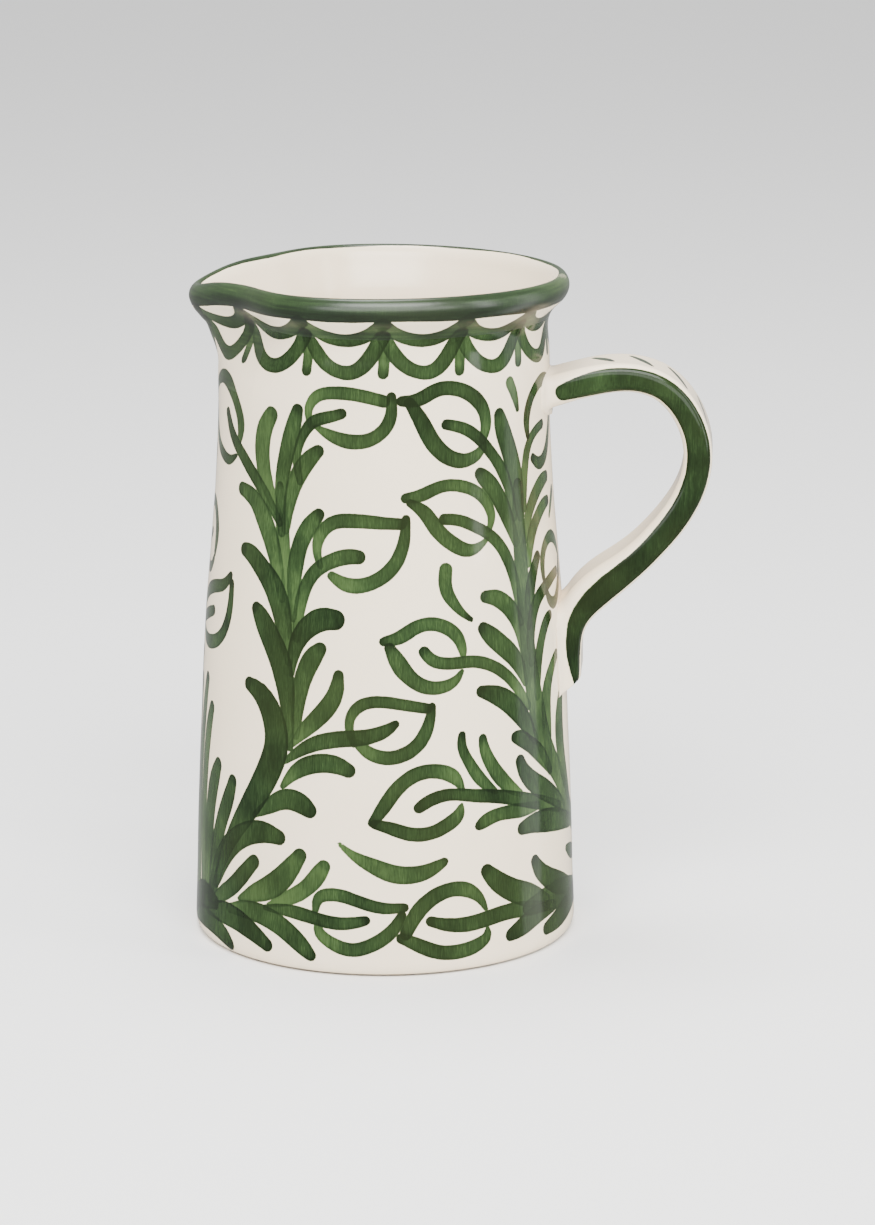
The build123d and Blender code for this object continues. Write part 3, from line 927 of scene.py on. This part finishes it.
class PITCHER_OT_vessel(bpy.types.Operator):
    """Throw the wall, roll the rim, pull the spout and paint all three"""

    bl_idname = "pitcher.vessel"
    bl_label = "Wall, Rim and Spout"
    bl_options = {"REGISTER", "UNDO"}

    def execute(self, context):
        settings = context.scene.pitcher
        form = ThrownForm(settings.form.outer_step, settings.form.inner_step, settings.form.ripple)
        coats = paint_vessel(form, settings.brush.waver, settings.brush.seed)
        glaze = painted_glaze("painted_glaze", settings.look, (600, 600, 90))
        rim_glaze = painted_glaze(
            "painted_rim_glaze", settings.look, (45, 45, 1100), brush=(1.15, 0.5), softer=0.17, sheen=0.4
        )
        points = form.points.reshape(-1, 3)
        start = form.band_starts
        low_out, neck_out, neck_in, low_in, end = (int(n) for n in start[1:])

        under = [end, end + 1, end + 2, end + 3, 0]
        closing = [face for pair in zip(under, under[1:]) for face in form.level_joint(*pair, None)]
        wall_skin = np.concatenate([form.skin([0, 4]), form.skin([1, 3], False)])
        sides = (form.left, form.right)
        across = [*range(low_out, neck_out + 1), *range(neck_in, low_in + 1)]
        joints = [*closing, *form.level_joint(neck_out, neck_in, False)]
        joints += form.level_joint(low_out, low_in, True)
        joints += [form.upright_joint(across, column) for column in sides]
        wall = make_piece("painted_wall", points, wall_skin, joints, glaze, coats)

        joints = form.level_joint(neck_out, neck_in, False)
        joints += [form.upright_joint(range(neck_out, neck_in + 1), column) for column in sides]
        rim = make_piece("rolled_rim", points, form.skin([2], False), joints, rim_glaze, coats)

        joints = form.level_joint(low_out, low_in, True)
        joints += [form.upright_joint(range(low_out, low_in + 1), column) for column in sides]
        spout = make_piece("pulled_spout", points, form.skin([1, 2, 3], True), joints, rim_glaze, coats)

        place_piece(wall, "painted_wall", "body_wall")
        place_piece(rim, "green_rim", "rim_roll")
        place_piece(spout, "green_rim", "spout_lip")
        return {"FINISHED"}


# The strap's line as (out from the axis, height), from inside the wall to below the tail
STRAP_LINE = [
    (50, 181), (59, 184.2), (69.5, 187), (80, 187.6), (90.5, 184.5), (99, 175.5), (102.8, 162.3),
    (100.1, 148.9), (91.6, 135.4), (80.8, 123.8), (70.4, 114.6), (63.6, 107), (61.3, 98), (61.2, 89),
    (61.2, 76),
]
STRAP_CUTS = (0.068, 0.745)  # shares of the line where the strap meets its roots
TAIL_END, TAIL_FACING = np.array([65.7, 0, 87.4]), np.array([0.62, 0, -0.785])
TAIL_SOFTNESS = 0.5  # how rounded the tail's cut edge is
UPPER_SPREAD, LOWER_SPREAD = 2.8, 3.2  # radius of the clay thumbed on to the wall at each root
SUNK = 1.0  # how far the strap's inner side may go into the wall
ACROSS = np.array([0.0, 1.0, 0.0])
STRAP_STEP = 0.5 * MM
DASH_STEP = 11.2  # from one dash on the outer face to the next
CORNER_STEPS = 8


def strap_tree():
    """Geometry nodes that sweep a rounded strap along a flat curve and stand it upright."""
    group = bpy.data.node_groups.new("Strap Along Path", "GeometryNodeTree")
    tree = Tree(group)
    face = group.interface
    face.new_socket("Geometry", in_out="INPUT", socket_type="NodeSocketGeometry")
    for name in ("Width", "Thickness", "Edge", "Step"):
        face.new_socket(name, in_out="INPUT", socket_type="NodeSocketFloat")
    face.new_socket("Material", in_out="INPUT", socket_type="NodeSocketMaterial")
    face.new_socket("Geometry", in_out="OUTPUT", socket_type="NodeSocketGeometry")
    given = tree.add("NodeGroupInput")
    position = tree.add("GeometryNodeInputPosition").out("Position")

    def made(kind, sockets, settings=None):
        """The first output of one more node of the sweep."""
        return tree.add(kind, settings, sockets).node.outputs[0]

    def stored(geometry, name, value, kind):
        """The geometry with a value kept on its points."""
        sockets = {"Geometry": geometry, "Name": name, "Value": value}
        return made("GeometryNodeStoreNamedAttribute", sockets, {"data_type": kind})

    def even(curve):
        """The curve with its points at even steps."""
        sockets = {"Curve": curve, "Length": given.out("Step")}
        return made("GeometryNodeResampleCurve", sockets, {"mode": "LENGTH"})

    sides = {"Width": given.out("Thickness"), "Height": given.out("Width")}
    flat = made("GeometryNodeCurvePrimitiveQuadrilateral", sides)
    corners = {"Curve": flat, "Count": CORNER_STEPS, "Radius": given.out("Edge")}
    filleted = made("GeometryNodeFilletCurve", corners, {"mode": "POLY"})

    path = even(given.out("Geometry"))
    length = tree.add("GeometryNodeSplineParameter").out("Length")
    kept = stored(stored(path, "along", length, "FLOAT"), "centre", position, "FLOAT_VECTOR")

    profile = {"Curve": kept, "Profile Curve": even(filleted), "Fill Caps": True}
    swept = made("GeometryNodeCurveToMesh", profile)
    upright = made("GeometryNodeTransform", {"Geometry": swept, "Rotation": (pi / 2, 0, 0)})
    real = made("GeometryNodeRealizeInstances", {"Geometry": upright})
    dressed = made("GeometryNodeSetMaterial", {"Geometry": real, "Material": given.out("Material")})
    tree.add("NodeGroupOutput", None, {"Geometry": dressed})
    return group


def run_tree(group, source, values, name):
    """The plain mesh that a node tree makes from an object, with its inputs set by identifier."""
    modifier = source.modifiers.new(name, "NODES")
    modifier.node_group = group
    for item in group.interface.items_tree:
        if item.in_out == "INPUT" and item.name in values:
            modifier[item.identifier] = values[item.name]
    graph = bpy.context.evaluated_depsgraph_get()
    mesh = bpy.data.meshes.new_from_object(source.evaluated_get(graph))
    source.modifiers.remove(modifier)
    bpy.data.objects.remove(source)
    return mesh


def path_object(name, line):
    """A flat poly curve through a line of (x, y), in millimetres."""
    curve = bpy.data.curves.new(name, "CURVE")
    curve.dimensions = "3D"
    spline = curve.splines.new("POLY")
    spline.points.add(len(line) - 1)
    for point, (x, y) in zip(spline.points, line):
        point.co = (x * MM, y * MM, 0, 1)
    made = bpy.data.objects.new(name, curve)
    bpy.context.scene.collection.objects.link(made)
    return made


def read_attribute(mesh, name, key, width):
    """An attribute that the tree kept on the mesh, one row to each point."""
    values = np.zeros(len(mesh.attributes[name].data) * width, np.float32)
    mesh.attributes[name].data.foreach_get(key, values)
    return values.reshape(-1, width) if width > 1 else values


class SweptStrap:
    """The swept strap as rings of points, thumbed on to the wall at both ends."""

    def __init__(self, mesh):
        points = np.zeros(len(mesh.vertices) * 3, np.float32)
        mesh.vertices.foreach_get("co", points)
        along = read_attribute(mesh, "along", "value", 1) / MM
        centre = read_attribute(mesh, "centre", "vector", 3) / MM
        rings = len(np.unique(np.round(along, 3)))
        shape = (rings, len(along) // rings)
        self.points = points.reshape(*shape, 3).astype(float) / MM
        self.along = along.reshape(shape)[:, 0]
        middle = centre.reshape(*shape, 3)[:, 0]
        self.centre = np.stack([middle[:, 0], np.zeros(rings), middle[:, 1]], axis=1)

    def outward(self):
        """The way that the strap's outer face looks, at each ring."""
        heading = np.gradient(self.centre, axis=0)
        heading /= np.linalg.norm(heading, axis=1)[:, None]
        out = np.cross(heading, ACROSS)
        top_faces = np.array([0.3, 0, 1.0])
        return (out * np.sign((out * top_faces).sum(axis=1)[:1, None]))[:, None]

    def shape(self):
        """Thin the strap at the top, spread both roots on the wall and cut the tail."""
        out = self.outward()
        offset = self.points - self.centre[:, None]
        n = (offset * out).sum(axis=-1)
        share = self.along[:, None] / self.along[-1]
        thick = 0.95 + 0.08 * bump(share - 0.42, 0.2) + 0.14 * (1 - smoothstep(0, 0.1, share))
        wide = 1 - 0.05 * bump(share - 0.4, 0.25)
        fill = 3.4 * bump(share - 0.75, 0.09) + 1.0 * bump(share - 0.6, 0.12) + 1.2 * bump(share - 0.1, 0.09)
        self.n = n * thick + np.where(n < 0, -fill * smoothstep(0, 3, -n), 0)
        self.w = offset[..., 1] * wide
        self.points = self.centre[:, None] + self.n[..., None] * out + self.w[..., None] * ACROSS
        self.thumb_on(out, share)
        self.cut_tail(share)
        self.keep_out_of_wall()

    def thumb_on(self, out, share):
        """Spread the strap where it comes near the wall."""
        edge = np.stack([self.w / np.abs(self.w).max(), self.n / np.abs(self.n).max()], axis=-1)
        power = np.abs(edge) ** 5
        push = np.sign(edge) * power / power.sum(axis=-1, keepdims=True)
        facing = push[..., 1, None] * out + push[..., 0, None] * ACROSS
        gap = np.hypot(self.points[..., 0], self.points[..., 1]) - wall_radius(self.points[..., 2])
        spread = np.where(share < 0.5, UPPER_SPREAD, LOWER_SPREAD)
        reach = np.clip(spread - gap, 0, spread)
        self.points = self.points + facing * (spread - np.sqrt(spread**2 - reach**2))[..., None]

    def cut_tail(self, share):
        """Draw all that is past the tail's slanted end back to it."""
        past = (self.points - TAIL_END) @ TAIL_FACING
        back = TAIL_SOFTNESS * np.log1p(np.exp(np.clip(past / TAIL_SOFTNESS, -40, 40)))
        self.points = self.points - back[..., None] * TAIL_FACING * (share > 0.5)[..., None]

    def keep_out_of_wall(self):
        """Push out what would go deeper into the wall than the joint does."""
        radius = np.hypot(self.points[..., 0], self.points[..., 1])
        wanted = np.maximum(radius, wall_radius(self.points[..., 2]) - SUNK)
        self.points[..., :2] *= (wanted / radius)[..., None]

    def girth(self):
        """How far round the section each point is, from the middle of the outer face."""
        ring = np.stack([self.w[len(self.w) // 2], self.n[len(self.n) // 2]], axis=1)
        closed = np.concatenate([ring, ring[:1]])
        run = lengths(closed)
        whole = run[-1]
        outer_face = np.where(ring[:, 1] < 0, np.inf, np.abs(ring[:, 0]))
        outer = np.argmin(outer_face - 1e-3 * ring[:, 1])
        turn = (run[:-1] - run[outer] + whole / 2) % whole - whole / 2
        side = np.sign(ring[np.argmin(np.abs(turn - whole / 4)), 0])
        return turn * side, whole


def wall_radius(z):
    """The outer radius of the wall at a height, as the thrown form has it."""
    wall = smooth_path([*HEEL, *OUTSIDE, *ROLL], 3000)[:2200]  # as far as the neck
    return np.interp(z, wall[:, 1], wall[:, 0])


def paint_strap(strap, seed):
    """A broad stripe along each side and short dashes down the outer face."""
    chance = np.random.default_rng(seed)
    turn, whole = strap.girth()
    work = Brushwork(len(strap.along), len(turn))
    up = np.repeat(strap.along[:, None], len(turn), axis=1)
    across = np.repeat(turn[None, :], len(strap.along), axis=0)
    total = strap.along[-1]
    # Each side's stripe, as (outwards from the middle of the side, along, width)
    stripe = [
        (1.0, 9.3, 5.2), (0.9, 17, 7.6), (0.4, 30, 8.4), (-0.2, 50, 8.2), (-0.4, 75, 8.4), (-0.7, 100, 7.2),
        (-0.9, 120, 6.4), (-1.2, total - 38, 6.0), (-1.9, total - 26, 5.8), (-2.8, total - 16, 4.4),
        (-3.6, total - 9, 1.6),
    ]
    for side in (-1, 1):
        points = [(side * (whole / 4 + out), place, width) for out, place, width in stripe]
        work.lay(1.2, stroke_line(points, 60), across, up, chance)
    for start in np.arange(20.0, total - 45, DASH_STEP):
        dash = [(5, start, 1.4), (1.8, start + 2.2, 2.4), (-1.6, start + 4.2, 2.4), (-5, start + 6, 1.2)]
        work.lay(0.8, stroke_line(dash, 14), across, up, chance)
    return work.coats()


class PITCHER_OT_handle(bpy.types.Operator):
    """Pull the strap, thumb both its ends on to the wall and paint it"""

    bl_idname = "pitcher.handle"
    bl_label = "Handle"
    bl_options = {"REGISTER", "UNDO"}

    def execute(self, context):
        settings = context.scene.pitcher
        glaze = painted_glaze("painted_strap_glaze", settings.look, (120, 900, 120))
        line = smooth_path(STRAP_LINE, 400)
        source = path_object("strap_path", line)
        sizes = {
            "Width": settings.form.strap_width,
            "Thickness": settings.form.strap_thickness,
            "Edge": settings.form.strap_edge,
            "Step": STRAP_STEP,
            "Material": glaze,
        }
        strap = SweptStrap(run_tree(strap_tree(), source, sizes, "strap"))
        strap.shape()
        coats = paint_strap(strap, settings.brush.seed)
        rings, around = strap.points.shape[:2]
        points = strap.points.reshape(-1, 3)
        cuts = [int(np.searchsorted(strap.along, share * strap.along[-1])) for share in STRAP_CUTS]
        ends = [0, *cuts, rings - 1]
        names = ("handle_upper_joint", "handle_band", "handle_tail")
        nodes = ("handle_upper_root", "handle_strap", "handle_lower_root")
        for first, last, name, node in zip(ends, ends[1:], names, nodes):
            i, j = np.meshgrid(np.arange(first, last), np.arange(around), indexing="ij")
            skin = cells(i.ravel(), i.ravel() + 1, j.ravel(), around)
            caps = [[row * around + column for column in range(around)] for row in (first, last)]
            piece = make_piece(name, points, skin, caps, glaze, coats)
            place_piece(piece, "painted_handle", node)
        return {"FINISHED"}


def turned_piece(name, outline, columns, material):
    """A ring or disc turned from a closed or axis-to-axis outline of (radius, height)."""
    outline = np.array(outline, float)
    on_axis = outline[0, 0] == 0
    rows = outline[1:-1] if on_axis else outline
    turn = np.linspace(0, 2 * pi, columns, endpoint=False)
    level = np.repeat(rows[:, 1:], columns, axis=1)
    points = np.stack([rows[:, :1] * np.sin(turn), -rows[:, :1] * np.cos(turn), level], axis=-1)
    points = points.reshape(-1, 3)
    count = len(rows)
    i = np.arange(count - 1 if on_axis else count)
    i, j = np.meshgrid(i, np.arange(columns), indexing="ij")
    skin = cells(i.ravel(), (i.ravel() + 1) % count, j.ravel(), columns).tolist()
    if on_axis:
        top_pole, low_pole = count * columns, count * columns + 1
        points = np.concatenate([points, [[0, 0, outline[0, 1]], [0, 0, outline[-1, 1]]]])
        last = (count - 1) * columns
        skin += [[top_pole, a, (a + 1) % columns] for a in range(columns)]
        skin += [[low_pole, last + a, last + (a + 1) % columns] for a in range(columns)]
    return make_piece(name, points, skin, [], material)


class PITCHER_OT_floor(bpy.types.Operator):
    """Lay the floor inside"""

    bl_idname = "pitcher.floor"
    bl_label = "Floor"
    bl_options = {"REGISTER", "UNDO"}

    def execute(self, context):
        glaze = plain_glaze("clear_glaze", context.scene.pitcher.look)
        rise, hollow, inside_ring = 0.3, 0.2, FOOT_R - FOOT_RING_W
        top = [(r, FLOOR_Z + rise * cos(r / FLOOR_R * pi / 2) ** 2) for r in range(4, FLOOR_R, 3)]
        edge = [(FLOOR_R, FLOOR_Z), (58.3, FLOOR_Z - 0.02), (58.3, FOOT_H + 0.02), (56, FOOT_H)]
        under = [(r, FOOT_H + hollow * sin(r / inside_ring * pi)) for r in range(53, 3, -5)]
        outline = [(0, FLOOR_Z + rise), *top, *edge, *under, (0, FOOT_H)]
        piece = turned_piece("inner_floor", outline, 180, glaze)
        place_piece(piece, "clear_glaze", "floor_disc")
        return {"FINISHED"}


class PITCHER_OT_foot(bpy.types.Operator):
    """Turn the bare ring that the pot stands on"""

    bl_idname = "pitcher.foot"
    bl_label = "Foot Ring"
    bl_options = {"REGISTER", "UNDO"}

    def execute(self, context):
        inner = FOOT_R - FOOT_RING_W
        inside = [(0, FOOT_H), (0, 1.0), (0.3, 0.4), (1.0, 0.05), (2.5, 0)]
        outside = [(2.0, 0), (0.9, 0.08), (0.3, 0.4), (0.05, 1.0), (0.1, FOOT_H)]
        outline = [(inner + out, z) for out, z in inside] + [(FOOT_R - back, z) for back, z in outside]
        piece = turned_piece("foot_ring_bare", outline, 240, bare_clay("bare_clay"))
        place_piece(piece, "bare_clay", "foot_ring")
        return {"FINISHED"}


class PITCHER_OT_studio(bpy.types.Operator):
    """Set the floor, the soft lamps and the camera"""

    bl_idname = "pitcher.studio"
    bl_label = "Studio"
    bl_options = {"REGISTER", "UNDO"}

    def execute(self, context):
        studio = context.scene.pitcher.studio
        scene = context.scene
        half = 8.0
        corners = [(-half, -half, 0), (half, -half, 0), (half, half, 0), (-half, half, 0)]
        mesh = bpy.data.meshes.new("studio_floor")
        mesh.from_pydata(corners, [], [(0, 1, 2, 3)])
        floor = bpy.data.objects.new("studio_floor", mesh)
        scene.collection.objects.link(floor)
        material, tree = new_material("pale_floor")
        surface = {"Base Color": (*studio.floor, 1), "Roughness": 0.7}
        shader = tree.add("ShaderNodeBsdfPrincipled", None, surface)
        tree.add("ShaderNodeOutputMaterial", None, {"Surface": shader.out("BSDF")})
        mesh.materials.append(material)
        floor.visible_glossy = False

        world = bpy.data.worlds.new("studio_fill")
        world.use_nodes = True
        fill = Tree(world.node_tree)
        seen_in_gloss = fill.add("ShaderNodeLightPath").value("Is Glossy Ray")
        strength = (1 - seen_in_gloss * studio.flags) * studio.sky
        light = fill.add("ShaderNodeBackground", None, {"Color": (1, 1, 1, 1), "Strength": strength})
        fill.add("ShaderNodeOutputWorld", None, {"Surface": light.out("Background")})
        scene.world = world

        self.lamp("key", (0.12, -1.15, 1.35), (0, 0, 0.12), (1.5, 0.7), studio.key)
        self.lamp("overhead", (-0.1, 0.25, 1.7), (0, 0, 0.2), (0.7, 0.7), studio.overhead)
        card = self.lamp("front_card", (0.1, -1.5, 0.62), (0, 0, 0.3), (3.0, 0.72), studio.card)
        strip = self.lamp("side_card", (1.27, 0.3, 0), (0, 0, 0), (0.42, 1.8), studio.strip)
        for reflected_only in (card, strip):
            reflected_only.visible_diffuse = reflected_only.visible_camera = False
        self.lamp("right_side", (1.3, -0.5, 0.55), (0, 0, 0.12), (0.22, 1.1), studio.side)

        data = bpy.data.cameras.new("studio_camera")
        data.lens = studio.lens / MM
        data.sensor_width = 36
        data.clip_start = 0.05
        camera = bpy.data.objects.new("studio_camera", data)
        azimuth, distance, height = radians(4.5), 1.376, 0.435
        look_down, look_aside = radians(13.45), radians(0.73)
        camera.location = (distance * sin(azimuth), -distance * cos(azimuth), height)
        camera.rotation_euler = (pi / 2 - look_down, 0, azimuth - look_aside)
        scene.collection.objects.link(camera)
        scene.camera = camera
        return {"FINISHED"}

    def lamp(self, name, place, target, size, power):
        """A rectangular soft lamp that faces a point."""
        data = bpy.data.lights.new(name, "AREA")
        data.shape = "RECTANGLE"
        data.size, data.size_y = size
        data.energy = power
        made = bpy.data.objects.new(name, data)
        made.location = place
        direction = made.location.copy()
        direction.x, direction.y, direction.z = (t - p for t, p in zip(target, place))
        made.rotation_euler = direction.to_track_quat("-Z", "Y").to_euler()
        bpy.context.scene.collection.objects.link(made)
        return made


class PITCHER_PT_panel(bpy.types.Panel):
    """Settings and makers of the pitcher"""

    bl_label = "Pitcher"
    bl_idname = "PITCHER_PT_panel"
    bl_space_type = "VIEW_3D"
    bl_region_type = "UI"
    bl_category = "Pitcher"

    def draw(self, context):
        settings = context.scene.pitcher
        for group in (settings.form, settings.brush, settings.look, settings.studio):
            box = self.layout.box()
            for name in type(group).__annotations__:
                box.prop(group, name)
        for operator in OPERATORS:
            self.layout.operator(operator.bl_idname)


OPERATORS = (PITCHER_OT_studio, PITCHER_OT_vessel, PITCHER_OT_handle, PITCHER_OT_floor, PITCHER_OT_foot)
GROUPS = (PitcherLook, PitcherForm, PitcherBrush, PitcherStudio, PitcherSettings)
CLASSES = (*GROUPS, *OPERATORS, PITCHER_PT_panel)


def register():
    for cls in CLASSES:
        bpy.utils.register_class(cls)
    bpy.types.Scene.pitcher = PointerProperty(type=PitcherSettings)


def unregister():
    del bpy.types.Scene.pitcher
    for cls in reversed(CLASSES):
        bpy.utils.unregister_class(cls)


def main():
    register()
    bpy.ops.pitcher.studio()
    bpy.ops.pitcher.vessel()
    bpy.ops.pitcher.handle()
    bpy.ops.pitcher.floor()
    bpy.ops.pitcher.foot()


if __name__ == "__main__":
    main()
